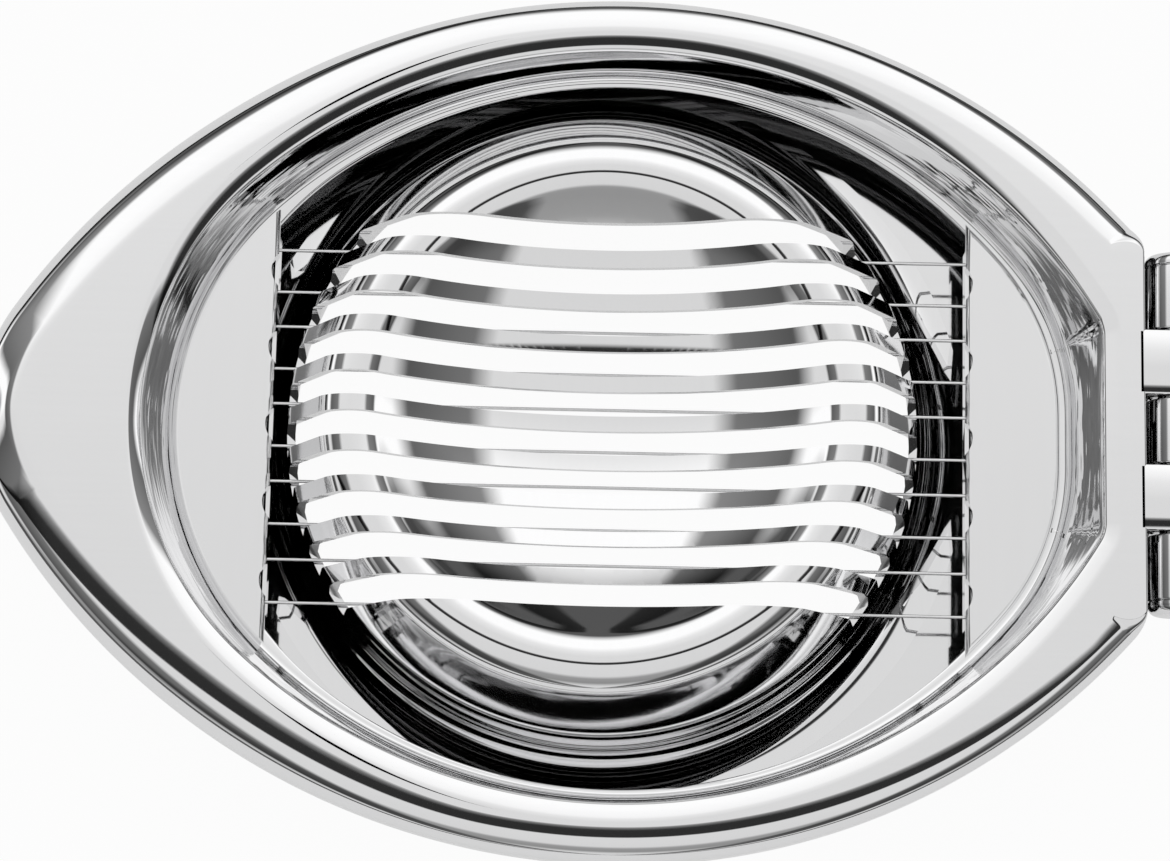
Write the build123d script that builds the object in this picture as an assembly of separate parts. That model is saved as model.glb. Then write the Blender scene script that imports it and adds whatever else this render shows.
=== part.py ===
import math
import os

from build123d import *

# Egg slicer of pressed polished steel. +Z is up, the hinge is at +X, the tip of the frame at -X.
# The origin is on the table, under the middle of the overall box. All sizes are in millimetres.

# Sheet and wire
tray_sheet = 1.0
cradle_sheet = 1.0
frame_sheet = 1.0
plate_sheet = 1.0
wire_diameter = 0.4

# Clearances
parting_gap = 0.3
running_clearance = 0.05
press_clearance = 0.02
knuckle_gap = 0.3

# Frame outline, seen from above and measured from the middle of the egg cradle.
# A tip's radius is the half width less its narrowing, here and in the outlines inside the frame.
frame_half_width = 52.0
frame_widest = 2.0
tip_reach = 74.5
frame_tip_narrowing = 28.5
frame_corner_radius = 5.0
hinge_side_margin = 3.0

# Frame section
rim_outer_round = 4.4
rim_inner_round = 2.2
skirt_height = 7.5

# Recess pressed into the frame: the rim round its mouth, the lean of its wall, the ledge on its floor
rim_side_width = 7.0
rim_hinge_width = 5.0
mouth_tip_narrowing = 7.15
mouth_hinge_half_width = 12.3
mouth_corner_radius = 4.0
wall_side_lean = 0.6
wall_tip_lean = 2.4
wall_hinge_lean = 2.6
foot_tip_narrowing = 6.2
foot_hinge_half_width = 12.1
foot_corner_radius = 30.0
recess_depth = 9.0
recess_floor_round = 1.2
ledge_side_width = 1.4
ledge_tip_width = 3.7
ledge_hinge_width = 6.4
opening_tip_narrowing = 3.5
opening_hinge_half_width = 18.0
opening_corner_radius = 24.0

# Wire plates
plate_margin = 0.1
left_plate_gap = 0.8
right_plate_gap = 4.8
right_plate_overhang = 6.3
lip_side_margin = 1.6
lip_clearance = 0.8
plate_lip_drop = 2.6
plate_lip_sheet = 0.5
plate_edge_round = 0.8
scallop_depth = 0.8

# Wires and the slots that they fall into
loop_count = 5
slot_pitch = 4.75
slot_width = 2.9
slot_reach = 9.7
slot_corner_radius = 1.0
leg_spacing = 5.2
loop_corner_radius = 0.4
wire_below_plate = 0.2

# Egg cradle
dish_height = 14.5
dish_radius = 40.0
crest_margin = 13.8
crest_round = 4.5
shoulder_angle = 61.5
shoulder_length = 7.6
knee_round = 6.0
cradle_wall_angle = 84.0
cradle_foot_round = 5.5
cradle_flange_width = 5.3

# Tray
tray_height = 11.2
tray_flange_width = 1.5
tray_draft = 12.0
tray_floor_round = 3.0
tray_hinge_gap = 0.9
tray_corner_radius = 8.0
tray_hole_margin = 0.7

# Hinge
knuckle_count = 5
hinge_length = 40.5
knuckle_diameter = 7.0
pin_diameter = 4.0
axis_beyond_edge = 4.0
leaf_sheet = 1.2
leaf_foot_width = 4.4
cap_height = 1.6
cap_seat = 0.7

# Widths, from the frame's side inwards to the cradle
mouth_half_width = frame_half_width - rim_side_width
foot_half_width = mouth_half_width - wall_side_lean
opening_half_width = foot_half_width - ledge_side_width
crest_radius = opening_half_width - crest_margin
slot_end_radius = crest_radius + slot_reach
tray_hole_radius = slot_end_radius + tray_hole_margin
cradle_flange_reach = tray_hole_radius + cradle_flange_width

# Loops of wire, and the lips of the plates that hold them
slot_count = 2 * loop_count
loop_pitch = 2 * slot_pitch
lip_half_width = ((loop_count - 1) * loop_pitch + leg_spacing) / 2 + lip_side_margin
left_plate_edge = slot_end_radius + left_plate_gap
right_plate_edge = slot_end_radius + right_plate_gap

# Lengths, from the plates outwards to the tip and to the hinge
opening_tip_radius = opening_half_width - opening_tip_narrowing
opening_tip_depth = opening_tip_radius - math.sqrt(opening_tip_radius**2 - lip_half_width**2)
opening_reach = left_plate_edge + plate_lip_sheet + lip_clearance + opening_tip_depth
foot_reach = opening_reach + ledge_tip_width
mouth_reach = foot_reach + wall_tip_lean
opening_hinge_reach = right_plate_edge + right_plate_overhang
foot_hinge_reach = opening_hinge_reach + ledge_hinge_width
mouth_hinge_reach = foot_hinge_reach + wall_hinge_lean
hinge_edge_reach = mouth_hinge_reach + rim_hinge_width
frame_hinge_half_width = hinge_length / 2 + hinge_side_margin

# Heights, and the place of the hinge's axis
frame_bottom = tray_height + parting_gap
frame_top = frame_bottom + skirt_height
ledge_top = frame_top - recess_depth
ledge_bottom = ledge_top - frame_sheet
plate_bottom = ledge_top
plate_top = plate_bottom + plate_sheet
wire_height = plate_bottom - wire_below_plate - wire_diameter / 2
knuckle_radius = knuckle_diameter / 2
axis_height = frame_top - knuckle_radius
axis_reach = hinge_edge_reach + axis_beyond_edge
hinge_reach = axis_reach + knuckle_radius
centre_x = (tip_reach - hinge_reach) / 2
tray_hinge_reach = (foot_hinge_reach + frame_sheet + tray_hinge_gap
                    + tray_sheet + parting_gap + tray_flange_width)


def eye_face(half_width, reach, hinge_reach, tip_narrowing, hinge_half_width, corner_radius,
             grow=0.0, past_hinge=0.0):
    """Eye outline of tangent arcs: a rounded tip, long sides and a straight hinge edge."""
    tip = half_width - tip_narrowing
    hinge_narrowing = half_width - hinge_half_width
    tip_span = frame_widest + reach
    hinge_span = hinge_reach - frame_widest
    tip_side = ((tip_span - tip) ** 2 + half_width**2 - tip**2) / (2 * tip_narrowing)
    hinge_side = (hinge_span**2 + hinge_narrowing**2) / (2 * hinge_narrowing)
    corner = corner_radius + grow
    edge_x = hinge_reach + past_hinge + grow
    widest = Vector(frame_widest, half_width + grow)
    tip_side_centre = Vector(frame_widest, half_width - tip_side)
    hinge_side_centre = Vector(frame_widest, half_width - hinge_side)
    tip_centre = Vector(tip - reach, 0)
    corner_x = edge_x - corner
    corner_rise = math.sqrt((hinge_side - corner_radius) ** 2 - (corner_x - frame_widest) ** 2)
    corner_centre = Vector(corner_x, hinge_side_centre.Y + corner_rise)
    tip_end = tip_centre + (tip_centre - tip_side_centre).normalized() * (tip + grow)
    side_end = corner_centre + (corner_centre - hinge_side_centre).normalized() * corner
    corner_end = Vector(edge_x, corner_centre.Y)
    tip_side_middle = arc_middle(tip_side_centre, tip_end, widest)
    hinge_side_middle = arc_middle(hinge_side_centre, widest, side_end)
    corner_middle = arc_middle(corner_centre, side_end, corner_end)
    half = [
        ThreePointArc(tip_end, tip_side_middle, widest),
        ThreePointArc(widest, hinge_side_middle, side_end),
        ThreePointArc(side_end, corner_middle, corner_end),
    ]
    edges = half + [edge.mirror(Plane.XZ) for edge in half]
    edges.append(ThreePointArc(flip(tip_end), Vector(-reach - grow, 0), tip_end))
    edges.append(Line(corner_end, flip(corner_end)))
    return Pos(centre_x, 0) * make_face(edges)


def arc_middle(centre, start, end):
    way = (start - centre).normalized() + (end - centre).normalized()
    return centre + way.normalized() * (start - centre).length


def flip(point):
    return Vector(point.X, -point.Y)


def frame_outline(grow=0.0, past_hinge=0.0):
    return eye_face(frame_half_width, tip_reach, hinge_edge_reach, frame_tip_narrowing,
                    frame_hinge_half_width, frame_corner_radius, grow, past_hinge)


def tray_outline(grow=0.0):
    return eye_face(frame_half_width, tip_reach, hinge_edge_reach, frame_tip_narrowing,
                    frame_hinge_half_width, tray_corner_radius, grow, tray_hinge_reach - hinge_edge_reach)


def mouth_outline(grow=0.0):
    return eye_face(mouth_half_width, mouth_reach, mouth_hinge_reach, mouth_tip_narrowing,
                    mouth_hinge_half_width, mouth_corner_radius, grow)


def foot_outline(grow=0.0):
    return eye_face(foot_half_width, foot_reach, foot_hinge_reach, foot_tip_narrowing,
                    foot_hinge_half_width, foot_corner_radius, grow)


def opening_outline(grow=0.0):
    return eye_face(opening_half_width, opening_reach, opening_hinge_reach, opening_tip_narrowing,
                    opening_hinge_half_width, opening_corner_radius, grow)


# Slack for picking edges by their place
tolerance = 0.01


def slab(face, bottom, top):
    return extrude(Pos(0, 0, bottom) * face, amount=top - bottom)


def between(upper, top, lower, bottom):
    """Solid with straight walls from one outline to another."""
    return loft([Pos(0, 0, bottom) * lower, Pos(0, 0, top) * upper], ruled=True)


def edges_at(shape, height):
    return shape.edges().filter_by_position(Axis.Z, height - tolerance, height + tolerance)


def block(x0, x1, y0, y1, z0, z1):
    return Pos((x0 + x1) / 2, (y0 + y1) / 2, (z0 + z1) / 2) * Box(x1 - x0, y1 - y0, z1 - z0)


def rod(x, z, y0, y1, radius):
    return Pos(x, (y0 + y1) / 2, z) * Rot(90, 0, 0) * Cylinder(radius, y1 - y0)


# Frame: one sheet with a domed rim, a recess, a ledge round the opening and two rolled tabs
form_base = ledge_bottom - 3 * frame_sheet
run_out = frame_corner_radius + frame_sheet
round_steps = 6


def domed_cap(grow, top, rounding):
    cap = slab(frame_outline(grow, run_out), form_base, top)
    return fillet(edges_at(cap, top), rounding)


def recess_space(grow, top, floor, mouth_round, floor_round):
    """Space of the recess: narrow bands round its mouth, a leaning wall, bands round its floor."""
    sections = []
    for step in range(round_steps + 1):
        turn = math.pi / 2 * step / round_steps
        outline = mouth_outline(grow + mouth_round * (1 - math.sin(turn)))
        sections.append(Pos(0, 0, top - mouth_round * (1 - math.cos(turn))) * outline)
    for step in range(round_steps + 1):
        turn = math.pi / 2 * step / round_steps
        outline = foot_outline(grow - floor_round * (1 - math.cos(turn)))
        sections.append(Pos(0, 0, floor + floor_round * (1 - math.sin(turn))) * outline)
    return loft(sections, ruled=True)


def make_frame_sheet():
    under_top = frame_top - frame_sheet
    hollow = recess_space(0, frame_top, ledge_top, rim_inner_round, recess_floor_round)
    wrapped = recess_space(frame_sheet, under_top, ledge_bottom,
                           rim_inner_round - frame_sheet, recess_floor_round + frame_sheet)
    outside = domed_cap(0, frame_top, rim_outer_round) & slab(frame_outline(), form_base, frame_top)
    inside = domed_cap(-frame_sheet, under_top, rim_outer_round - frame_sheet) - wrapped
    below = slab(frame_outline(frame_sheet), form_base - frame_sheet, frame_bottom) - wrapped
    sheet = outside - hollow - inside - below
    return sheet - slab(opening_outline(), form_base, frame_top)


# Hinge: five knuckles in turn on the base leaf and on the frame
axis_x = centre_x + axis_reach
frame_edge_x = centre_x + hinge_edge_reach
knuckle_pitch = hinge_length / knuckle_count
pin_radius = pin_diameter / 2


def knuckle_span(index):
    start = index * knuckle_pitch - hinge_length / 2
    return start + knuckle_gap / 2, start + knuckle_pitch - knuckle_gap / 2


def knuckle(index, clearance):
    y0, y1 = knuckle_span(index)
    bore = rod(axis_x, axis_height, y0, y1, pin_radius + clearance)
    return rod(axis_x, axis_height, y0, y1, knuckle_radius) - bore


def frame_tab(index):
    y0, y1 = knuckle_span(index)
    strap = block(frame_edge_x - frame_sheet, axis_x, y0, y1, frame_top - frame_sheet, frame_top)
    return strap + knuckle(index, running_clearance)


def leaf_strap(index):
    y0, y1 = knuckle_span(index)
    x0 = axis_x - knuckle_radius
    strap = block(x0, x0 + leaf_sheet, y0, y1, leaf_bottom, axis_height)
    return strap + knuckle(index, press_clearance)


frame_shell = make_frame_sheet()
for index in range(1, knuckle_count, 2):
    frame_shell += frame_tab(index)

leaf_top = tray_height - tray_sheet
leaf_bottom = leaf_top - leaf_sheet
leaf_end = axis_x - knuckle_radius + leaf_sheet
leaf_half = hinge_length / 2 - knuckle_gap / 2
base_hinge_leaf = block(leaf_end - leaf_foot_width, leaf_end, -leaf_half, leaf_half, leaf_bottom, leaf_top)
for index in range(0, knuckle_count, 2):
    base_hinge_leaf += leaf_strap(index)

pin_half = hinge_length / 2 - knuckle_gap / 2 + cap_seat
hinge_pin = rod(axis_x, axis_height, -pin_half, pin_half, pin_radius)


def pin_cap(side):
    """Domed cap pressed on one end of the pin, against the outer knuckle."""
    seat = hinge_length / 2 - knuckle_gap / 2
    dome = Cylinder(knuckle_radius, cap_height)
    dome = fillet(dome.edges().sort_by(Axis.Z)[-1], cap_height * 0.75)
    hole = Pos(0, 0, (cap_seat - cap_height) / 2) * Cylinder(pin_radius + press_clearance, cap_seat)
    cap = Pos(0, 0, cap_height / 2) * (dome - hole)
    return Pos(axis_x, side * seat, axis_height) * Rot(-90 * side, 0, 0) * cap


# Wire plates: flat carriers welded on the ledge, with a lip that the wires pull against
wire_radius = wire_diameter / 2


def loop_middle(index):
    return (index - (loop_count - 1) / 2) * loop_pitch


def wire_plate(side, edge_reach):
    edge_x = centre_x + side * edge_reach
    far_x = edge_x + side * (tip_reach + hinge_reach)
    keep = block(min(edge_x, far_x), max(edge_x, far_x), -frame_half_width, frame_half_width,
                 plate_bottom, plate_top)
    plate = slab(foot_outline(-recess_floor_round - plate_margin), plate_bottom, plate_top) & keep
    lip_x = edge_x + side * plate_lip_sheet
    lip = block(min(edge_x, lip_x), max(edge_x, lip_x), -lip_half_width, lip_half_width,
                plate_bottom - plate_lip_drop, plate_bottom)
    plate += lip
    plate = fillet(edges_at(plate, plate_top).filter_by(Axis.Y), plate_edge_round)
    for index in range(loop_count):
        plate -= plate_scallop(index, edge_x, side)
        for leg in (-1, 1):
            y = loop_middle(index) + leg * leg_spacing / 2
            hole = Rot(0, 90, 0) * Cylinder(wire_radius + press_clearance, 4 * plate_lip_sheet)
            plate -= Pos(edge_x, y, wire_height) * hole
    return plate


def plate_scallop(index, edge_x, side):
    """Shallow round bite out of the plate's edge, between the two legs of one loop."""
    half = leg_spacing / 2 - loop_corner_radius - wire_radius
    radius = (half**2 + scallop_depth**2) / (2 * scallop_depth)
    height = 2 * (plate_top - wire_height)
    middle_x = edge_x - side * (radius - scallop_depth)
    return Pos(middle_x, loop_middle(index), plate_top) * Cylinder(radius, height)


# Wire loops: each is one closed ring of wire with two cutting legs
back_run = plate_lip_sheet + loop_corner_radius


def wire_loop(index):
    x0 = centre_x - left_plate_edge - back_run
    x1 = centre_x + right_plate_edge + back_run
    corner = loop_corner_radius
    half = leg_spacing / 2
    y = loop_middle(index)
    section = Circle(wire_radius)
    ring = Part()
    for sy in (-1, 1):
        leg = Pos((x0 + x1) / 2, y + sy * half, wire_height) * Rot(0, 90, 0)
        ring += leg * Cylinder(wire_radius, x1 - x0 - 2 * corner)
    for x, sx in ((x0, -1), (x1, 1)):
        ring += rod(x, wire_height, y - half + corner, y + half - corner, wire_radius)
        for sy in (-1, 1):
            bend = revolve(Plane.XZ * Pos(corner, 0) * section, Axis.Z, 90)
            turn = {(1, 1): 0, (-1, 1): 90, (-1, -1): 180, (1, -1): 270}[(sx, sy)]
            place = Pos(x - sx * corner, y + sy * (half - corner), wire_height)
            ring += place * Rot(0, 0, turn) * bend
    return ring


# Egg cradle: a slotted cup turned about its own middle, with a flange welded on the tray's floor
def lean_ways(angle):
    """Directions down a slope that makes this angle with the level, and out of it."""
    lean = math.radians(angle)
    return Vector(math.cos(lean), -math.sin(lean)), Vector(math.sin(lean), math.cos(lean))


def arc_about(centre, radius, start_way, end_way):
    middle_way = (start_way + end_way).normalized()
    return ThreePointArc(centre + start_way * radius, centre + middle_way * radius, centre + end_way * radius)


def cradle_section(sink):
    """Edges of one side of the sheet, from the middle of the dish to the end of the flange."""
    foot = cradle_foot_round + sink
    straight_down = Vector(0, -1)
    dish_centre = Vector(0, dish_height + dish_radius)
    apart = dish_radius + crest_round
    crest_centre = Vector(crest_radius, dish_centre.Y - math.sqrt(apart**2 - crest_radius**2))
    to_crest = (crest_centre - dish_centre).normalized()
    slope_down, slope_out = lean_ways(shoulder_angle)
    wall_down, wall_out = lean_ways(cradle_wall_angle)
    knee_centre = crest_centre + slope_out * (crest_round - knee_round) + slope_down * shoulder_length
    dish_arc = arc_about(dish_centre, dish_radius + sink, straight_down, to_crest)
    crest_arc = arc_about(crest_centre, crest_round - sink, -to_crest, slope_out)
    knee_arc = arc_about(knee_centre, knee_round - sink, slope_out, wall_out)
    # The foot's round touches the wall and the flange
    flange_top = tray_sheet + cradle_sheet - sink
    knee_end = knee_arc @ 1
    fall = (knee_end.Y - flange_top - foot * (1 - wall_out.Y)) / -wall_down.Y
    foot_arc = arc_about(knee_end + wall_down * fall + wall_out * foot, foot, -wall_out, straight_down)
    flange_end = Vector(cradle_flange_reach, flange_top)
    edges = [
        dish_arc,
        crest_arc,
        Line(crest_arc @ 1, knee_arc @ 0),
        knee_arc,
        Line(knee_end, foot_arc @ 0),
        foot_arc,
        Line(foot_arc @ 1, flange_end),
    ]
    return edges, dish_arc @ 0, flange_end


def make_cradle():
    upper, upper_start, upper_end = cradle_section(0)
    lower, lower_start, lower_end = cradle_section(cradle_sheet)
    closing = [Line(upper_end, lower_end), Line(lower_start, upper_start)]
    section = make_face(upper + lower + closing)
    cup = revolve(Plane.XZ * section, Axis.Z, 360)
    for index in range(slot_count):
        y = (index - (slot_count - 1) / 2) * slot_pitch
        half = math.sqrt(slot_end_radius**2 - y**2)
        slot = extrude(RectangleRounded(2 * half, slot_width, slot_corner_radius), amount=2 * dish_height)
        cup -= Pos(0, y, tray_sheet + cradle_sheet) * slot
    return Pos(centre_x, 0) * cup


# Tray: floor with a round hole, drafted wall and a narrow flange under the frame's skirt
def make_tray():
    lean = math.tan(math.radians(tray_draft))
    flange_in = parting_gap + tray_flange_width
    wall_in = flange_in + tray_height * lean
    outside = between(tray_outline(-flange_in), tray_height, tray_outline(-wall_in), 0)
    outside = fillet(edges_at(outside, 0), tray_floor_round)
    inner_in = wall_in + tray_sheet - tray_sheet * lean
    inside = between(tray_outline(-flange_in - tray_sheet), tray_height, tray_outline(-inner_in), tray_sheet)
    inside = fillet(edges_at(inside, tray_sheet), tray_floor_round - tray_sheet)
    flange = slab(frame_outline(-parting_gap), tray_height - tray_sheet, tray_height)
    tray = outside + (flange - slab(tray_outline(-flange_in - tray_sheet / 2), 0, tray_height))
    tray -= inside
    return tray - Pos(centre_x, 0) * Cylinder(tray_hole_radius, 3 * tray_sheet)


nodes = {
    "base_tray": make_tray(),
    "egg_cradle": make_cradle(),
    "base_hinge_leaf": base_hinge_leaf,
    "hinge_pin": hinge_pin,
    "pin_cap_front": pin_cap(-1),
    "pin_cap_rear": pin_cap(1),
    "frame_shell": frame_shell,
    "wire_plate_left": wire_plate(-1, left_plate_edge),
    "wire_plate_right": wire_plate(1, right_plate_edge),
}
for index in range(loop_count):
    nodes[f"wire_loop_{index + 1}"] = wire_loop(index)

os.makedirs("parts", exist_ok=True)
for name, shape in nodes.items():
    shape.label = name
    export_step(shape, f"parts/{name}.step")
    box = shape.bounding_box()
    print(name, shape.is_valid, len(shape.solids()), round(shape.volume, 1), box.min, box.max)
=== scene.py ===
import math
import bmesh
import bpy
import numpy as np
from mathutils import Matrix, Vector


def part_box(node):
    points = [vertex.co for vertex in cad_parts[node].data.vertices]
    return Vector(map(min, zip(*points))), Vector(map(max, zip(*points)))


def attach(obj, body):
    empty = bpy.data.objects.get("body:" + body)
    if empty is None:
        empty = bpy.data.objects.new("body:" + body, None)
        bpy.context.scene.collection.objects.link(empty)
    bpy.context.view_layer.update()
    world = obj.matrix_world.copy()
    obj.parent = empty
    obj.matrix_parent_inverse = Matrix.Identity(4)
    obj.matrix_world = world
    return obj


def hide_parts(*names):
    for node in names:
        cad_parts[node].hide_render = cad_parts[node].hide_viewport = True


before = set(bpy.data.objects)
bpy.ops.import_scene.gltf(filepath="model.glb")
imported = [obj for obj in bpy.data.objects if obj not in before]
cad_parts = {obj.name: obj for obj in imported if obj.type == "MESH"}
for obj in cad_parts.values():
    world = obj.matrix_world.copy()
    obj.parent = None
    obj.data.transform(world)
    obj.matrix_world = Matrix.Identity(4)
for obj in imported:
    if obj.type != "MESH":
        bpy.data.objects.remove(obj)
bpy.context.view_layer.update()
mm = 0.001
print("frame loaded")


def nodeBox(name):
    low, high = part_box(name)
    return np.array(low) / mm, np.array(high) / mm


# places that the pieces share, in millimetres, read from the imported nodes
frameLow, frameHigh = nodeBox("frame_shell")
cradleLow, cradleHigh = nodeBox("egg_cradle")
trayHigh = nodeBox("base_tray")[1]
pinLow, pinHigh = nodeBox("hinge_pin")
leafLow, leafHigh = nodeBox("base_hinge_leaf")
middleX = (cradleLow[0] + cradleHigh[0]) / 2
hingeX = (pinLow[0] + pinHigh[0]) / 2
hingeZ = (pinLow[2] + pinHigh[2]) / 2
frameTop = frameHigh[2]
sheet = 1.0
partingGap = 0.3
rightAngle = math.pi / 2
sharpAngle = math.radians(40)


# wraps a socket, so that shader maths reads as an expression; make adds any other node
class Link:
    def __init__(self, tree, socket=None):
        self.tree, self.socket = tree, socket

    def make(self, kind, settings=None, values=None, output=0):
        node = self.tree.nodes.new(kind)
        for key, value in (settings or {}).items():
            if key == "stops":
                while len(node.color_ramp.elements) < len(value):
                    node.color_ramp.elements.new(0.5)
                for element, (place, shade) in zip(node.color_ramp.elements, value):
                    element.position, element.color = place, (shade, shade, shade, 1)
            else:
                setattr(node, key, value)
        for key, value in (values or {}).items():
            if isinstance(value, Link):
                self.tree.links.new(value.socket, node.inputs[key])
            else:
                node.inputs[key].default_value = value
        return Link(self.tree, node.outputs[output] if node.outputs else None)

    def maths(self, operation, first, second):
        return self.make("ShaderNodeMath", {"operation": operation}, {0: first, 1: second})

    def __add__(self, other):
        return self.maths("ADD", self, other)

    def __radd__(self, other):
        return self.maths("ADD", other, self)

    def __sub__(self, other):
        return self.maths("SUBTRACT", self, other)

    def __rsub__(self, other):
        return self.maths("SUBTRACT", other, self)

    def __mul__(self, other):
        return self.maths("MULTIPLY", self, other)

    def __rmul__(self, other):
        return self.maths("MULTIPLY", other, self)

    def __truediv__(self, other):
        return self.maths("DIVIDE", self, other)


def emptyTree(owner):
    owner.use_nodes = True
    owner.node_tree.nodes.clear()
    return Link(owner.node_tree)


# polished sheet: fine hairlines along one way, faint smudges and a slow waviness of the sheet
steelFinishes = {
    # the frame's share for faces that look down is painted shade, a multiplier on its colour
    "frame_steel": {"tone": 0.86, "roughness": 0.035, "grain": (40, 1800, 1800), "wave": 0.5, "undersideShade": 0.12},
    "base_steel": {"tone": 0.84, "roughness": 0.06, "grain": (40, 1800, 1800), "wave": 0.5},
    "cradle_steel": {"tone": 0.86, "roughness": 0.04, "grain": (1500, 60, 1500), "wave": 0.3},
    "hinge_steel": {"tone": 0.84, "roughness": 0.07, "grain": (1600, 90, 1600), "wave": 0.3},
    "pin_steel": {"tone": 0.82, "roughness": 0.08, "grain": (1600, 1600, 1600), "wave": 0.2},
    "plate_steel": {"tone": 0.85, "roughness": 0.10, "grain": (1600, 60, 1600), "wave": 0.2},
    "wire_steel": {"tone": 0.80, "roughness": 0.12, "grain": (60, 4000, 4000), "wave": 0.0},
}
# what the finishes share: noise scales are in waves to the metre, bumps are a share of the bump distance
finishDetail = {"smudgeScale": 70.0, "waveScale": 45.0, "streakScale": (150, 150, 1200),
                "hairlineHeight": 0.02, "streakHeight": 9.0, "bumpStrength": 0.35, "bumpDistance": 0.00002,
                "undersideFrom": -0.3, "undersideTo": -0.1}


# colour runs between two close tones by hairlines and smudges, roughness and bump rise and fall with them
def steelMaterial(name):
    look, detail = steelFinishes[name], finishDetail
    material = bpy.data.materials.new(name)
    graph = emptyTree(material)
    place = graph.make("ShaderNodeTexCoord", output="Object")
    grain = graph.make("ShaderNodeMapping", None, {"Vector": place, "Scale": look["grain"]})
    hairline = graph.make("ShaderNodeTexNoise", None, {"Vector": grain, "Scale": 1.0, "Detail": 3.0})
    smudge = graph.make("ShaderNodeTexNoise", None,
                        {"Vector": place, "Scale": detail["smudgeScale"], "Detail": 4.0})
    wave = graph.make("ShaderNodeTexNoise", None,
                      {"Vector": place, "Scale": detail["waveScale"], "Detail": 0.0})
    # painted shade: faces that look down get a darker colour on the pieces whose finish gives a share for it,
    # and they show that darkness in what reflects them
    normal = graph.make("ShaderNodeTexCoord", output="Normal")
    upward = graph.make("ShaderNodeSeparateXYZ", None, {0: normal}, output="Z")
    paintedShade = graph.make("ShaderNodeMapRange", None,
                          {0: upward, 1: detail["undersideFrom"], 2: detail["undersideTo"],
                           3: look.get("undersideShade", 1.0), 4: 1.0})
    tone = look["tone"]
    darker = (tone * 0.975, tone * 0.975, tone * 0.98, 1)
    lighter = (tone * 1.015, tone * 1.015, tone * 1.02, 1)
    shine = graph.make("ShaderNodeMix", {"data_type": "RGBA"},
                       {0: hairline * 0.6 + smudge * 0.4, 6: darker, 7: lighter}, output=2)
    colour = graph.make("ShaderNodeVectorMath", {"operation": "SCALE"}, {0: shine, "Scale": paintedShade})
    roughness = look["roughness"] * (0.7 + hairline * 0.4 + smudge * 0.2)
    # the drawn wall of the recess is rippled, in streaks that run along it
    wall = graph.make("ShaderNodeAttribute", {"attribute_name": "wall"}, output="Fac")
    drawn = graph.make("ShaderNodeMapping", None, {"Vector": place, "Scale": detail["streakScale"]})
    streak = graph.make("ShaderNodeTexNoise", None, {"Vector": drawn, "Scale": 1.0, "Detail": 1.0})
    height = hairline * detail["hairlineHeight"] + wave * look["wave"]
    height = height + streak * wall * detail["streakHeight"]
    bump = graph.make("ShaderNodeBump", None, {"Height": height, "Strength": detail["bumpStrength"],
                                               "Distance": detail["bumpDistance"]})
    shader = graph.make("ShaderNodeBsdfPrincipled", None,
                        {"Base Color": colour, "Roughness": roughness, "Metallic": 1.0, "Normal": bump})
    graph.make("ShaderNodeOutputMaterial", None, {"Surface": shader})
    return material


materials = {name: steelMaterial(name) for name in steelFinishes}
print("finishes", ", ".join(materials))


# a closed surface is turned where its volume, the sum of a . (b x c) over its triangles, comes out negative
def facingOut(points, faces):
    triangles = np.array([[face[0], face[k], face[k + 1]] for face in faces for k in range(1, len(face) - 1)])
    a, b, c = (points[triangles[:, k]] for k in range(3))
    negative = np.einsum("ij,ij->i", a, np.cross(b, c)).sum() < 0
    return points, [face[::-1] for face in faces] if negative else faces


# a mesh from points in millimetres; where a turned profile ends on its axis, the pole's points are merged
def closedMesh(name, points, faces, poles):
    points, faces = facingOut(points, faces)
    mesh = bpy.data.meshes.new(name)
    mesh.from_pydata((points * mm).tolist(), [], faces)
    if poles:
        work = bmesh.new()
        work.from_mesh(mesh)
        bmesh.ops.remove_doubles(work, verts=work.verts, dist=1e-7)
        work.to_mesh(mesh)
        work.free()
    return mesh


# a finished piece: smooth but for its sharp edges, on its body, in place of its nodes
def addPiece(name, points, faces, body, nodes, slotName, poles=False):
    mesh = closedMesh(name, points, faces, poles)
    mesh.polygons.foreach_set("use_smooth", np.ones(len(mesh.polygons), dtype=bool))
    mesh.set_sharp_from_angle(angle=sharpAngle)
    mesh.materials.append(materials[slotName])
    piece = bpy.data.objects.new(name, mesh)
    bpy.context.scene.collection.objects.link(piece)
    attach(piece, body)
    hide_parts(*nodes)
    print("piece", name, len(mesh.polygons), "faces")
    return piece


# quads between the neighbours of a grid: rows run along the path, columns round the section
def gridFaces(rows, columns, closeRows, closeColumns):
    r, c = np.meshgrid(np.arange(rows if closeRows else rows - 1),
                       np.arange(columns if closeColumns else columns - 1), indexing="ij")
    nextR, nextC = (r + 1) % rows, (c + 1) % columns
    corners = [r * columns + c, r * columns + nextC, nextR * columns + nextC, nextR * columns + c]
    return np.stack(corners, axis=-1).reshape(-1, 4).tolist()


# faces of a tube whose two ends are closed by flat caps
def cappedFaces(rows, size):
    caps = [list(range(size))[::-1], list(range((rows - 1) * size, rows * size))]
    return gridFaces(rows, size, False, True) + caps


# ring of a rectangle with rounded corners: each corner is a quarter circle about a point set in by its radius
def roundedRing(a0, a1, b0, b1, radius, steps):
    turn = np.linspace(0, rightAngle, steps)
    corners = ((a1 - radius, b1 - radius), (a0 + radius, b1 - radius), (a0 + radius, b0 + radius),
               (a1 - radius, b0 + radius))
    return np.concatenate([np.stack([a + radius * np.cos(turn + k * rightAngle),
                                     b + radius * np.sin(turn + k * rightAngle)], axis=-1)
                           for k, (a, b) in enumerate(corners)])


# an outline moved inwards at a height; the distance and the height may change along it
def insetRow(outline, inward, distance, height):
    ones = np.ones(len(outline))
    return np.column_stack([outline + inward * (distance * ones)[:, None], height * ones])


# several closed surfaces as one
def joined(parts):
    parts = [facingOut(*part) for part in parts]
    starts = np.cumsum([0] + [len(points) for points, faces in parts])
    faces = [[index + start for index in face] for (points, partFaces), start in zip(parts, starts)
             for face in partFaces]
    return np.concatenate([points for points, partFaces in parts]), faces


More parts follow.
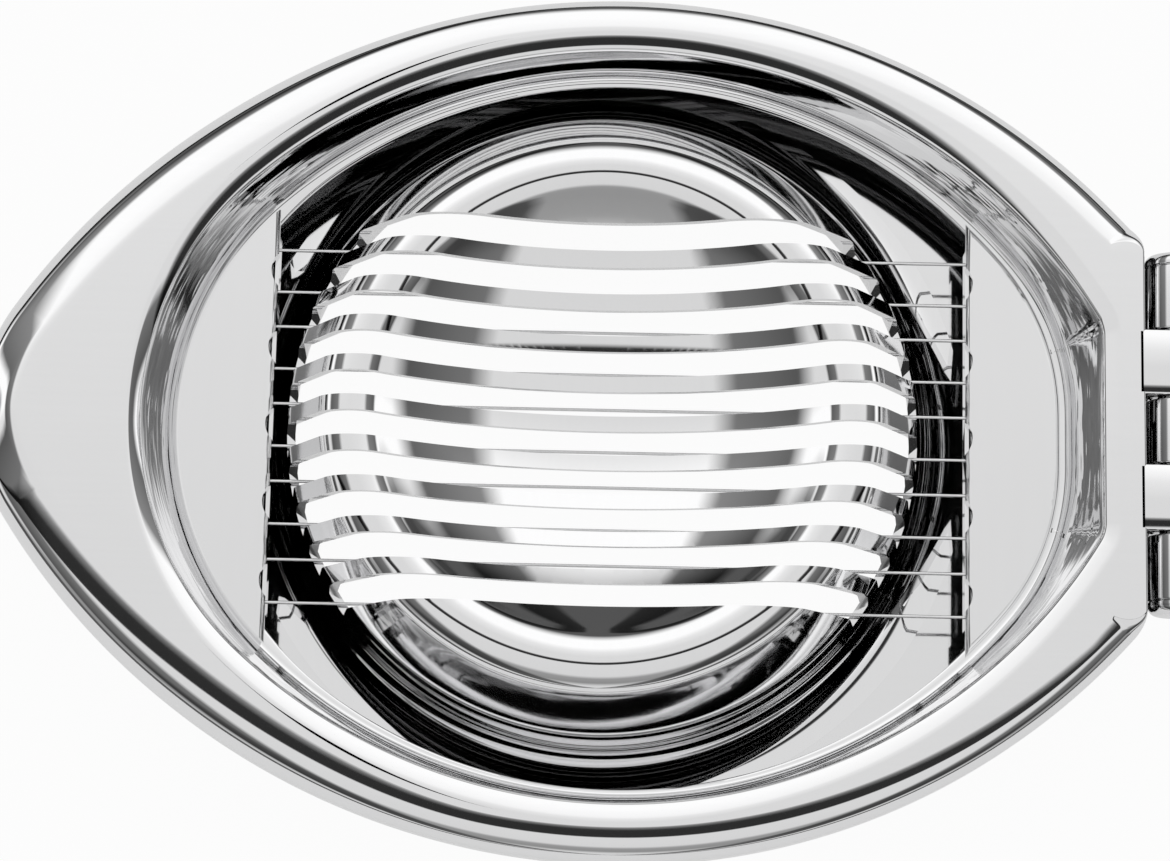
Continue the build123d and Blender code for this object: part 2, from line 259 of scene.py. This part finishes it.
# a profile of (radius, along) pairs turned about a line along Y or Z: radius times cosine and sine
def turned(profile, count, centre, axis, closed):
    angle = np.linspace(0, 2 * math.pi, count, endpoint=False)[:, None]
    a = profile[None, :, 0] * np.cos(angle)
    b = profile[None, :, 0] * np.sin(angle)
    along = np.broadcast_to(profile[None, :, 1], a.shape)
    parts = (a, along, b) if axis == "y" else (a, b, along)
    points = np.stack(parts, axis=-1) + np.array(centre)
    return points.reshape(-1, 3), gridFaces(count, len(profile), True, closed)


# points along each part of an eye outline
outlineCounts = {"tip": 120, "tipSide": 130, "hingeSide": 130, "corner": 40, "edge": 40}


def arc(centre, radius, start, end, count):
    angle = np.linspace(start, end, count, endpoint=False)
    return np.stack([centre[0] + radius * np.cos(angle), centre[1] + radius * np.sin(angle)], axis=-1)


# eye outline of tangent arcs: tip, long side, hinge side, corner, straight hinge edge, and back; a side's
# radius is (run squared + fall squared) / (2 fall) from its widest point to where it ends
def eyeOutline(size, grow=0.0):
    width, reach, widest = size["halfWidth"], size["reach"], size["widest"]
    tip = width - size["tipNarrowing"]
    narrowing = width - size["hingeHalfWidth"]
    tipSide = ((widest + reach - tip) ** 2 + width**2 - tip**2) / (2 * size["tipNarrowing"])
    hingeSide = ((size["hingeReach"] - widest) ** 2 + narrowing**2) / (2 * narrowing)
    corner = size["cornerRadius"] + grow
    edgeX = size["hingeReach"] + size.get("pastHinge", 0.0) + grow
    cornerX = edgeX - corner
    rise = math.sqrt((hingeSide - size["cornerRadius"]) ** 2 - (cornerX - widest) ** 2)
    cornerY = width - hingeSide + rise
    tipTurn = math.atan2(tipSide - width, tip - reach - widest)
    cornerTurn = math.atan2(rise, cornerX - widest)
    n = outlineCounts
    points = np.concatenate([
        arc((tip - reach, 0), tip + grow, 2 * math.pi - tipTurn, tipTurn, n["tip"]),
        arc((widest, width - tipSide), tipSide + grow, tipTurn, rightAngle, n["tipSide"]),
        arc((widest, width - hingeSide), hingeSide + grow, rightAngle, cornerTurn, n["hingeSide"]),
        arc((cornerX, cornerY), corner, cornerTurn, 0, n["corner"]),
        np.linspace((edgeX, cornerY), (edgeX, -cornerY), n["edge"], endpoint=False),
        arc((cornerX, -cornerY), corner, 0, -cornerTurn, n["corner"]),
        arc((widest, hingeSide - width), hingeSide + grow, -cornerTurn, -rightAngle, n["hingeSide"]),
        arc((widest, tipSide - width), tipSide + grow, -rightAngle, -tipTurn, n["tipSide"]),
    ])
    return points + np.array([middleX, 0])


# the outline runs clockwise, so its inside lies to the right of its way
def inwardOf(points):
    way = np.roll(points, -1, axis=0) - np.roll(points, 1, axis=0)
    way /= np.linalg.norm(way, axis=1, keepdims=True)
    return np.stack([way[:, 1], -way[:, 0]], axis=-1)


# how far each point goes along its own direction until it meets another closed outline
def distanceTo(points, way, target):
    gap = target[None, :, :] - points[:, None, :]
    across = gap[..., 0] * way[:, None, 1] - gap[..., 1] * way[:, None, 0]
    ahead = gap[..., 0] * way[:, None, 0] + gap[..., 1] * way[:, None, 1]
    nextAcross, nextAhead = np.roll(across, -1, axis=1), np.roll(ahead, -1, axis=1)
    share = across / np.where(across == nextAcross, 1.0, across - nextAcross)
    meet = ahead + share * (nextAhead - ahead)
    best = np.argmin(np.where(across * nextAcross <= 0, np.abs(meet), np.inf), axis=1)
    return meet[np.arange(len(points)), best]


# smooth step from 0 at low to 1 at high: 3 t squared - 2 t cubed
def easeBetween(value, low, high):
    t = np.clip((value - low) / (high - low), 0, 1)
    return t * t * (3 - 2 * t)


frameOutline = {"halfWidth": frameHigh[1], "reach": middleX - frameLow[0], "widest": 2.0, "hingeReach": 64.0,
                "tipNarrowing": 28.5, "hingeHalfWidth": 23.25, "cornerRadius": 5.0}
mouthOutline = {"halfWidth": 45.0, "reach": 54.6, "widest": 2.0, "hingeReach": 59.0,
                "tipNarrowing": 7.15, "hingeHalfWidth": 12.3, "cornerRadius": 4.0}
footOutline = {"halfWidth": 44.4, "reach": 52.2, "widest": 2.0, "hingeReach": 56.4,
               "tipNarrowing": 6.2, "hingeHalfWidth": 12.1, "cornerRadius": 30.0}
openingOutline = {"halfWidth": 43.0, "reach": 48.5, "widest": 2.0, "hingeReach": 50.0,
                  "tipNarrowing": 3.5, "hingeHalfWidth": 18.0, "cornerRadius": 24.0}
# the rim is a low ridge: arcs from its top outwards and inwards, each (radius, first tilt, last tilt, steps)
frameSection = {"outerArcs": [(3.2, 0, 6, 5), (28, 6, 8.6, 6), (3.2, 8.6, 90, 16)],
                "outerWay": {"narrowing": 0.5, "lift": 0.07, "swell": 0.6},
                "innerArcs": [(3.2, 0, 13, 6), (28, 13, 15.7, 6), (0.8, 15.7, 90, 12)],
                "innerWay": {"narrowing": 1, "lift": -0.07, "swell": 0},
                "leastFacing": 0.3, "hingeSideX": (0, 40), "tipSideX": (10, 50),
                "underRounds": (4.4, 2.2), "floorRound": 1.2, "depth": 9.0, "skirt": 7.5, "edgeRound": 0.25,
                "leastStreak": 0.08, "streakX": (28, 52)}
frameSteps = {"skirt": 6, "quarter": 19, "flat": 8, "wall": 8, "pastCorner": 8}


# run and drop along a chain of arcs: run adds radius times the change of sine, drop that of cosine; where
# the rim turns towards the tip the tilts in between grow, so that the flank keeps its slope along Y, and
# they lift or sink as the sides come in; the radii narrow with the turn and swell towards the tip
def arcChain(arcs, way, outline, inward):
    least = frameSection["leastFacing"]
    least = least + (1 - least) * easeBetween(outline[:, 0], *frameSection["hingeSideX"])
    facing = np.hypot(inward[:, 1], least) / np.hypot(1, least)
    swell = 1 + way["swell"] * easeBetween(-outline[:, 0], *frameSection["tipSideX"])
    side = np.abs(outline[:, 1])
    run, drop = [np.zeros(len(side))], [np.zeros(len(side))]

    def tiltAt(tilt):
        if tilt in (0, 90):
            return np.radians(np.full(len(side), tilt))
        return np.radians((tilt + way["lift"] * (side.max() - side)) / facing)

    for radius, first, last, steps in arcs:
        start, end = tiltAt(first), tiltAt(last)
        tilt = start + (end - start) * np.linspace(0, 1, steps + 1)[1:, None]
        local = radius * facing ** way["narrowing"] * swell
        run.extend(run[-1] + local * (np.sin(tilt) - np.sin(start)))
        drop.extend(drop[-1] + local * (np.cos(start) - np.cos(tilt)))
    return np.array(run), np.array(drop)


# the frame's closed section, carried round its outlines: skirt, outer round, rim, mouth round, wall,
# floor round and ledge, then back along the underside one sheet away
def frameSheet():
    s = frameSection
    outer, mouth = eyeOutline(frameOutline), eyeOutline(mouthOutline)
    outerIn, mouthIn = inwardOf(outer), inwardOf(mouth)
    footIn = distanceTo(mouth, mouthIn, eyeOutline(footOutline))
    openIn = distanceTo(mouth, mouthIn, eyeOutline(openingOutline))
    count = len(outer)
    floor = frameTop - s["depth"]
    # the skirt and the outer round fade out towards the hinge edge
    n = outlineCounts
    hingeMiddle = n["tip"] + n["tipSide"] + n["hingeSide"] + n["corner"] + n["edge"] / 2
    away = np.abs(np.arange(count) - hingeMiddle) - n["edge"] / 2
    full = easeBetween(away, 0, n["corner"] + frameSteps["pastCorner"])
    outerRun, outerDrop = arcChain(s["outerArcs"], s["outerWay"], outer, outerIn)
    innerRun, innerDrop = arcChain(s["innerArcs"], s["innerWay"], mouth, mouthIn)
    outerRun *= (s["edgeRound"] + (outerRun[-1] - s["edgeRound"]) * full) / outerRun[-1]
    outerDrop *= (s["edgeRound"] + (outerDrop[-1] - s["edgeRound"]) * full) / outerDrop[-1]
    skirtEnd = frameTop - sheet - (s["skirt"] - sheet) * full
    rows = []

    def fromOuter(inset, height):
        rows.append(insetRow(outer, outerIn, inset, height))

    def fromMouth(inset, height):
        rows.append(insetRow(mouth, mouthIn, inset, height))

    quarter = np.linspace(0, rightAngle, frameSteps["quarter"])
    flat, steep = (np.linspace(0, 1, frameSteps[part])[1:-1] for part in ("flat", "wall"))
    for share in np.linspace(0, 1, frameSteps["skirt"], endpoint=False):
        fromOuter(0, skirtEnd + share * (frameTop - outerDrop[-1] - skirtEnd))
    for run, drop in zip(outerRun[::-1], outerDrop[::-1]):
        fromOuter(outerRun[-1] - run, frameTop - drop)
    rimStart, at = rows[-1], len(rows)
    for run, drop in zip(innerRun, innerDrop):
        fromMouth(run - innerRun[-1], frameTop - drop)
    rimEnd, wallStart = rows[at], rows[-1]
    rows[at:at] = [rimStart + share * (rimEnd - rimStart) for share in flat]
    at = len(rows)
    for turn in quarter[::2]:
        inset, rise = (s["floorRound"] * (1 - way(turn)) for way in (math.cos, math.sin))
        fromMouth(footIn + inset, floor + rise)
    rows[at:at] = [wallStart + share * (rows[at] - wallStart) for share in steep]
    wallRows = (at - 2, len(rows) - 4)
    e = s["edgeRound"]
    for inset, height in ((-e, 0), (-0.3 * e, -0.3 * e), (0, -e), (0, e - sheet), (-e, -sheet)):
        fromMouth(openIn + inset, floor + height)
    under = s["floorRound"] + sheet
    for turn in quarter[::-3]:
        fromMouth(footIn - sheet + under * (1 - math.cos(turn)), floor - sheet + under * (1 - math.sin(turn)))
    under = s["underRounds"][1] - sheet
    for turn in quarter[::-3]:
        fromMouth(-sheet - under * (1 - math.sin(turn)), frameTop - sheet - under * (1 - math.cos(turn)))
    under = np.maximum(s["edgeRound"] + (s["underRounds"][0] - s["edgeRound"]) * full - sheet, 0.02)
    for turn in quarter[::-2]:
        fromOuter(sheet + under * (1 - math.cos(turn)), frameTop - sheet - under * (1 - math.sin(turn)))
    fromOuter(sheet, np.minimum(skirtEnd, frameTop - sheet - under))
    # the wall's share of streaks grows towards the tip and the hinge
    wall = np.zeros((count, len(rows)), dtype=np.float32)
    least, far = s["leastStreak"], np.abs(mouth[:, :1] - middleX)
    wall[:, slice(*wallRows)] = least + (1 - least) * easeBetween(far, *s["streakX"])
    return np.stack(rows, axis=1).reshape(-1, 3), gridFaces(count, len(rows), True, True), wall.ravel()


# hinge: rolled knuckles on flat straps
hingeSize = {"knuckles": 5, "length": 40.5, "gap": 0.3, "bore": 2.05, "strap": 1.2, "foot": 4.4, "edge": 0.25,
             "tabOverlap": 0.8, "spokes": 96, "edgeSteps": 6}
knuckleRadius = frameTop - hingeZ


# a knuckle takes an equal share of the hinge's length, less the gap
def knuckleSpan(index):
    pitch = hingeSize["length"] / hingeSize["knuckles"]
    start = index * pitch - hingeSize["length"] / 2
    return start + hingeSize["gap"] / 2, start + pitch - hingeSize["gap"] / 2


# a tube about the pin: bore, flat ends with rounded rims, round outside
def knuckle(index):
    y0, y1 = knuckleSpan(index)
    r, e, bore = knuckleRadius, hingeSize["edge"], hingeSize["bore"]
    turn = np.linspace(0, rightAngle, hingeSize["edgeSteps"])
    nearRim = np.stack([r - e + e * np.sin(turn), y0 + e - e * np.cos(turn)], axis=-1)
    farRim = np.stack([r - e + e * np.cos(turn), y1 - e + e * np.sin(turn)], axis=-1)
    profile = np.concatenate([[[bore, y1], [bore, y0]], nearRim, farRim])
    return turned(profile, hingeSize["spokes"], (hingeX, 0, hingeZ), "y", True)


# a flat bar along Y: a rectangle with rounded corners in XZ, drawn in at both ends
def flatBar(x0, x1, y0, y1, z0, z1):
    edge = hingeSize["edge"]
    ring = roundedRing(x0, x1, z0, z1, edge, hingeSize["edgeSteps"])
    centre, half = np.array([x0 + x1, z0 + z1]) / 2, np.array([x1 - x0, z1 - z0]) / 2
    ends = np.array([[y0, 1], [y0 + 0.3 * edge, 0.3], [y0 + edge, 0],
                     [y1 - edge, 0], [y1 - 0.3 * edge, 0.3], [y1, 1]])
    shrink = 1 - edge * ends[:, 1, None] / half[None, :]
    xz = centre + (ring - centre)[None, :, :] * shrink[:, None, :]
    points = np.stack([xz[..., 0], np.broadcast_to(ends[:, 0, None], xz.shape[:2]), xz[..., 1]], axis=-1)
    return points.reshape(-1, 3), cappedFaces(len(ends), len(ring))


# two straps that carry the rim on to their knuckles
def frameTabs():
    startX = middleX + frameOutline["hingeReach"] - hingeSize["tabOverlap"]
    tabs = (1, 3)
    bars = [flatBar(startX, hingeX, *knuckleSpan(index), frameTop - sheet, frameTop) for index in tabs]
    return joined(bars + [knuckle(index) for index in tabs])


# three straps that stand on a foot and end in their knuckles
def baseLeaf():
    x0 = hingeX - knuckleRadius
    x1 = x0 + hingeSize["strap"]
    straps = (0, 2, 4)
    bars = [flatBar(x0, x1, *knuckleSpan(index), leafLow[2], hingeZ) for index in straps]
    footTop = leafLow[2] + hingeSize["strap"]
    foot = flatBar(x1 - hingeSize["foot"], x1, leafLow[1], leafHigh[1], leafLow[2], footTop)
    return joined(bars + [foot] + [knuckle(index) for index in straps])


# pin and caps
pinSize = {"chamfer": 0.2, "spokes": 64, "capEdge": 0.15, "domeShare": 0.75, "domeSteps": 18, "capSpokes": 96}


# a low dome on the end of the pin: a seat, a short side and a quarter circle
def pinCap(name):
    low, high = nodeBox(name)
    side = 1 if low[1] > 0 else -1
    seat, height = (low[1] if side > 0 else high[1]), high[1] - low[1]
    r, e = knuckleRadius, pinSize["capEdge"]
    turn = np.linspace(0, rightAngle, pinSize["domeSteps"])
    curve = pinSize["domeShare"] * height
    dome = np.stack([r - curve + curve * np.cos(turn), height - curve + curve * np.sin(turn)], axis=-1)
    profile = np.concatenate([[[0, 0], [r - e, 0], [r, e]], dome, [[0, height]]])
    profile[:, 1] *= side
    return turned(profile, pinSize["capSpokes"], (hingeX, seat, hingeZ), "y", False)


# a rod with chamfered ends
def pinRod():
    r, c = pinHigh[2] - hingeZ, pinSize["chamfer"]
    profile = np.array([[0, pinLow[1]], [r - c, pinLow[1]], [r, pinLow[1] + c],
                        [r, pinHigh[1] - c], [r - c, pinHigh[1]], [0, pinHigh[1]]])
    return turned(profile, pinSize["spokes"], (hingeX, 0, hingeZ), "y", False)


# wires
wireSize = {"corner": 0.4, "sides": 16, "cornerSteps": 9}


# a round wire carried along a closed rectangle with rounded corners
def wireLoop(name):
    low, high = nodeBox(name)
    r = (high[2] - low[2]) / 2
    path = roundedRing(low[0] + r, high[0] - r, low[1] + r, high[1] - r,
                       wireSize["corner"], wireSize["cornerSteps"])
    outward = -inwardOf(path[::-1])[::-1]
    angle = np.linspace(0, 2 * math.pi, wireSize["sides"], endpoint=False)
    xy = path[:, None, :] + outward[:, None, :] * (r * np.cos(angle))[None, :, None]
    z = np.broadcast_to((low[2] + high[2]) / 2 + r * np.sin(angle)[None, :], xy.shape[:2])
    points = np.concatenate([xy, z[..., None]], axis=-1)
    return points.reshape(-1, 3), gridFaces(len(path), len(angle), True, True)


# tray
traySize = {"flange": 1.5, "draft": 12.0, "floorRound": 3.0, "hole": 38.8, "edge": 0.2, "roundSteps": 16,
            "hingeReach": 61.1, "cornerRadius": 8.0}
trayOutline = dict(frameOutline, cornerRadius=traySize["cornerRadius"],
                   pastHinge=traySize["hingeReach"] - frameOutline["hingeReach"])


# a closed section carried round the outline: round hole, floor, floor round, drafted wall, flange, and back
# one sheet away; the wall draws in by height times the tangent of its draft
def traySheet():
    s = traySize
    wall = eyeOutline(trayOutline, -partingGap - s["flange"])
    wallIn = inwardOf(wall)
    rim = distanceTo(wall, -wallIn, eyeOutline(frameOutline, -partingGap))
    height, lean, e = trayHigh[2], math.radians(s["draft"]), s["edge"]
    drawn = height * math.tan(lean)
    count = len(wall)
    hub = np.array([middleX, 0])
    toHub = (wall - hub) / np.linalg.norm(wall - hub, axis=1, keepdims=True)
    rows = []

    def fromWall(inset, z):
        rows.append(insetRow(wall, wallIn, inset, z))

    def fromHole(extra, z):
        rows.append(np.column_stack([hub + toHub * (s["hole"] + extra), np.full(count, z)]))

    def floorRound(radius, foot, bottom, turns):
        touch = radius * math.tan((rightAngle - lean) / 2)
        for turn in turns:
            fromWall(foot + touch - radius * math.sin(turn), bottom + radius * (1 - math.cos(turn)))

    turns = np.linspace(0, rightAngle - lean, s["roundSteps"])
    fromHole(0, e)
    fromHole(0, sheet - e)
    fromHole(e, sheet)
    inner = drawn + sheet - sheet * math.tan(lean)
    fromWall(inner + s["floorRound"], sheet)
    floorRound(s["floorRound"] - sheet, inner, sheet, turns)
    fromWall(sheet + e * math.tan(lean), height - e)
    fromWall(sheet - e, height)
    fromWall(e - rim, height)
    fromWall(-rim, height - e)
    fromWall(-rim, height - sheet + e)
    fromWall(e - rim, height - sheet)
    fromWall(sheet * math.tan(lean), height - sheet)
    floorRound(s["floorRound"], drawn, 0.0, turns[::-1])
    fromHole(e, 0)
    return np.stack(rows, axis=1).reshape(-1, 3), gridFaces(count, len(rows), True, True)


# egg cradle
cradleSize = {"dish": 14.5, "dishRadius": 40.0, "crest": 29.2, "crestRound": 4.5, "shoulderAngle": 61.5,
              "shoulderLength": 7.6, "kneeRound": 6.0, "wallAngle": 84.0, "footRound": 5.5,
              "slots": 10, "pitch": 4.75, "slotWidth": 2.9, "slotEnd": 38.9, "slotCorner": 1.0,
              "slotCornerSteps": 8, "slotUnderWire": 1.0, "slotTop": 40.0}
cradleSteps = {"dish": 42, "crest": 34, "shoulder": 8, "knee": 9, "wall": 7, "foot": 16, "spokes": 420}


# points of an arc in a section, from one tilt to another; tilt is measured from straight up, outwards
def sectionArc(centre, radius, first, last, count):
    tilt = np.linspace(first, last, count)
    return np.stack([centre[0] + radius * np.sin(tilt), centre[1] + radius * np.cos(tilt)], axis=-1)


# one side of the sheet as (radius, height), from the middle of the dish to the flange: dish arc, crest arc,
# shoulder, knee arc, leaning wall, foot arc; the arcs touch, so their centres lie a sum of radii apart
def cradleSide(sink):
    s, n = cradleSize, cradleSteps
    foot = s["footRound"] + sink
    dishZ = s["dish"] + s["dishRadius"]
    crestZ = dishZ - math.sqrt((s["dishRadius"] + s["crestRound"]) ** 2 - s["crest"] ** 2)
    meet = math.atan2(s["crest"], dishZ - crestZ)
    slope, lean = math.radians(s["shoulderAngle"]), math.radians(s["wallAngle"])
    step = s["crestRound"] - s["kneeRound"]
    kneeX = s["crest"] + step * math.sin(slope) + s["shoulderLength"] * math.cos(slope)
    kneeZ = crestZ + step * math.cos(slope) - s["shoulderLength"] * math.sin(slope)
    dishArc = sectionArc((0, dishZ), s["dishRadius"] + sink, math.pi, math.pi - meet, n["dish"])
    crestArc = sectionArc((s["crest"], crestZ), s["crestRound"] - sink, -meet, slope, n["crest"])
    kneeArc = sectionArc((kneeX, kneeZ), s["kneeRound"] - sink, slope, lean, n["knee"])
    flange = 2 * sheet - sink
    fall = (kneeArc[-1, 1] - flange - foot * (1 - math.cos(lean))) / math.sin(lean)
    footX = kneeArc[-1, 0] + fall * math.cos(lean) + foot * math.sin(lean)
    footArc = sectionArc((footX, flange + foot), foot, lean - math.pi, -math.pi, n["foot"])
    slopeLine = np.linspace(crestArc[-1], kneeArc[0], n["shoulder"])[1:-1]
    wallLine = np.linspace(kneeArc[-1], footArc[0], n["wall"])[1:-1]
    end = [[cradleHigh[0] - middleX, flange]]
    return np.concatenate([dishArc, crestArc[1:], slopeLine, kneeArc, wallLine, footArc, end])


# both sides of the sheet as one profile, turned about the middle
def cradleSheet():
    profile = np.concatenate([cradleSide(0), cradleSide(sheet)[::-1]])
    return turned(profile, cradleSteps["spokes"], (middleX, 0, 0), "z", False)


# upright prisms with rounded corners, each as long as the circle of slot ends lets it be
def slotPrisms():
    s = cradleSize
    half = s["slotWidth"] / 2
    bottom = nodeBox("wire_loop_1")[0][2] - s["slotUnderWire"]
    prisms = []
    for index in range(s["slots"]):
        y = (index - (s["slots"] - 1) / 2) * s["pitch"]
        reach = math.sqrt(s["slotEnd"] ** 2 - y**2)
        ring = roundedRing(-reach, reach, -half, half, s["slotCorner"], s["slotCornerSteps"])
        placed = ring + np.array([middleX, y])
        ends = [np.column_stack([placed, np.full(len(ring), z)]) for z in (bottom, s["slotTop"])]
        prisms.append((np.concatenate(ends), cappedFaces(2, len(ring))))
    return joined(prisms)


# the prisms are cut out of the cradle, and its sharp edges are marked again
def cutSlots(piece):
    mesh = closedMesh("slotPrisms", *slotPrisms(), False)
    prisms = bpy.data.objects.new("slotPrisms", mesh)
    bpy.context.scene.collection.objects.link(prisms)
    cut = piece.modifiers.new("slots", "BOOLEAN")
    cut.operation, cut.solver, cut.object = "DIFFERENCE", "MANIFOLD", prisms
    bpy.context.view_layer.update()
    result = bpy.data.meshes.new_from_object(piece.evaluated_get(bpy.context.evaluated_depsgraph_get()))
    piece.modifiers.clear()
    old, piece.data = piece.data, result
    bpy.data.meshes.remove(old)
    bpy.data.objects.remove(prisms)
    bpy.data.meshes.remove(mesh)
    result.name = piece.name
    result.set_sharp_from_angle(angle=sharpAngle)
    print("slots cut,", len(result.polygons), "faces")


frameBody, baseBody = "cutting_frame", "base"
framePoints, frameFaces, frameWall = frameSheet()
framePiece = addPiece("frameSheet", framePoints, frameFaces, frameBody, ["frame_shell"], "frame_steel")
framePiece.data.attributes.new("wall", "FLOAT", "POINT").data.foreach_set("value", frameWall)
addPiece("frameTabs", *frameTabs(), frameBody, ["frame_shell"], "frame_steel")
addPiece("traySheet", *traySheet(), baseBody, ["base_tray"], "base_steel")
cradlePiece = addPiece("cradleSheet", *cradleSheet(), baseBody, ["egg_cradle"], "cradle_steel", poles=True)
cutSlots(cradlePiece)
addPiece("baseLeaf", *baseLeaf(), baseBody, ["base_hinge_leaf"], "hinge_steel")
addPiece("pinRod", *pinRod(), baseBody, ["hinge_pin"], "pin_steel", poles=True)
addPiece("pinCapFront", *pinCap("pin_cap_front"), baseBody, ["pin_cap_front"], "pin_steel", poles=True)
addPiece("pinCapRear", *pinCap("pin_cap_rear"), baseBody, ["pin_cap_rear"], "pin_steel", poles=True)
for number in range(1, 6):
    node = f"wire_loop_{number}"
    addPiece(f"wire{number}", *wireLoop(node), frameBody, [node], "wire_steel")

# the wire plates are flat, so their own solids stay and only take the finish
for name in ("wire_plate_left", "wire_plate_right"):
    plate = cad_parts[name]
    plate.data.materials.clear()
    plate.data.materials.append(materials["plate_steel"])


# studio sky: soft light that changes with the tilt of a direction from straight up, towards the viewer
# or away from it, as long boxes of light do, times a share that falls off to both sides; (degrees, shade)
skyBands = [(-90, 0.10), (-76, 0.10), (-66, 0.75), (-58, 1.15), (-34, 1.15), (-22, 0.92), (-8, 0.80),
            (8.0, 0.80), (8.6, 0.03), (14.4, 0.03), (15.0, 0.78), (50, 0.76), (58, 0.36), (72, 0.30),
            (82, 0.74), (90, 0.74)]
sideBands = [(0, 1.0), (36, 1.0), (44, 0.24), (66, 0.13), (72, 1.0), (78, 1.0), (82, 0.15), (90, 0.15)]


def studioSky():
    world = bpy.data.worlds.new("studioSky")
    bpy.context.scene.world = world
    graph = emptyTree(world)
    way = graph.make("ShaderNodeTexCoord")
    parts = graph.make("ShaderNodeSeparateXYZ", None, {0: way})
    outputs = parts.socket.node.outputs
    across, towards, up = (Link(graph.tree, outputs[k]) for k in range(3))
    tilt = graph.maths("ARCTAN2", towards * -1.0, up)
    lean = graph.maths("ARCTAN2", graph.maths("ABSOLUTE", across, 0.0), up)
    tiltStops = [(angle / 360 + 0.5, shade) for angle, shade in skyBands]
    leanStops = [(angle / 180, shade) for angle, shade in sideBands]
    bands = graph.make("ShaderNodeValToRGB", {"stops": tiltStops}, {0: tilt / (2 * math.pi) + 0.5})
    sides = graph.make("ShaderNodeValToRGB", {"stops": leanStops}, {0: lean / math.pi})
    sky = graph.make("ShaderNodeBackground", None, {"Color": bands * sides, "Strength": 1.0})
    white = graph.make("ShaderNodeBackground", None, {"Color": (1, 1, 1, 1), "Strength": 1.0})
    toEye = graph.make("ShaderNodeLightPath", output="Is Camera Ray")
    mixed = graph.make("ShaderNodeMixShader", None, {0: toEye, 1: sky, 2: white})
    graph.make("ShaderNodeOutputWorld", None, {"Surface": mixed})


studioSky()


# pale floor: white to the eye and half so in reflections; the rest is diffuse white that takes the shadow
floorSize = {"half": 1500.0, "below": 0.02, "shadow": 0.05, "mirrored": 0.5}


def studioFloor():
    half, z = floorSize["half"], -floorSize["below"]
    line = np.linspace(-half, half, 5)
    x, y = np.meshgrid(line, line, indexing="ij")
    points = np.stack([x, y, np.full_like(x, z)], axis=-1).reshape(-1, 3)
    mesh = bpy.data.meshes.new("studioFloor")
    mesh.from_pydata((points * mm).tolist(), [], [face[::-1] for face in gridFaces(5, 5, False, False)])
    material = bpy.data.materials.new("floorWhite")
    graph = emptyTree(material)
    plain = graph.make("ShaderNodeBsdfDiffuse", None, {"Color": (0.9, 0.9, 0.9, 1)})
    glow = graph.make("ShaderNodeEmission", None, {"Color": (1, 1, 1, 1), "Strength": 1.0})
    path = graph.make("ShaderNodeLightPath").socket.node.outputs
    toEye, mirrored, through = (Link(graph.tree, path[name]) for name in
                                ("Is Camera Ray", "Is Glossy Ray", "Is Transmission Ray"))
    white = graph.maths("MINIMUM", toEye + mirrored * floorSize["mirrored"] + through, 1.0)
    share = white * (1 - floorSize["shadow"])
    mixed = graph.make("ShaderNodeMixShader", None, {0: share, 1: plain, 2: glow})
    graph.make("ShaderNodeOutputMaterial", None, {"Surface": mixed})
    mesh.materials.append(material)
    floor = bpy.data.objects.new("studioFloor", mesh)
    bpy.context.scene.collection.objects.link(floor)


studioFloor()
print("studio ready")

# camera: steeply above the near side, turned a little about its own line of sight
cameraSize = {"place": (1.5, -71.9, 394.0), "aim": (-0.54, -0.74, 14.0), "turn": 1.3,
              "lens": 99.8, "sensor": 36.0, "clip": (0.01, 20.0)}


# the camera looks from its place to its aim, then turns about that line
def photoCamera():
    data = bpy.data.cameras.new("photoCamera")
    data.lens, data.sensor_width, data.sensor_fit = cameraSize["lens"], cameraSize["sensor"], "HORIZONTAL"
    camera = bpy.data.objects.new("photoCamera", data)
    bpy.context.scene.collection.objects.link(camera)
    place, aim = np.array(cameraSize["place"]), np.array(cameraSize["aim"])
    back = (place - aim) / np.linalg.norm(place - aim)
    right = np.cross((0, 1, 0), back)
    right /= np.linalg.norm(right)
    up = np.cross(back, right)
    turn = math.radians(cameraSize["turn"])
    turnedRight = right * math.cos(turn) + up * math.sin(turn)
    turnedUp = up * math.cos(turn) - right * math.sin(turn)
    matrix = np.eye(4)
    matrix[:3, 0], matrix[:3, 1], matrix[:3, 2], matrix[:3, 3] = turnedRight, turnedUp, back, place * mm
    camera.matrix_world = Matrix(matrix.tolist())
    data.clip_start, data.clip_end = cameraSize["clip"]
    bpy.context.scene.camera = camera


photoCamera()
print("camera placed")
bpy.context.scene.view_settings.view_transform = "Standard"
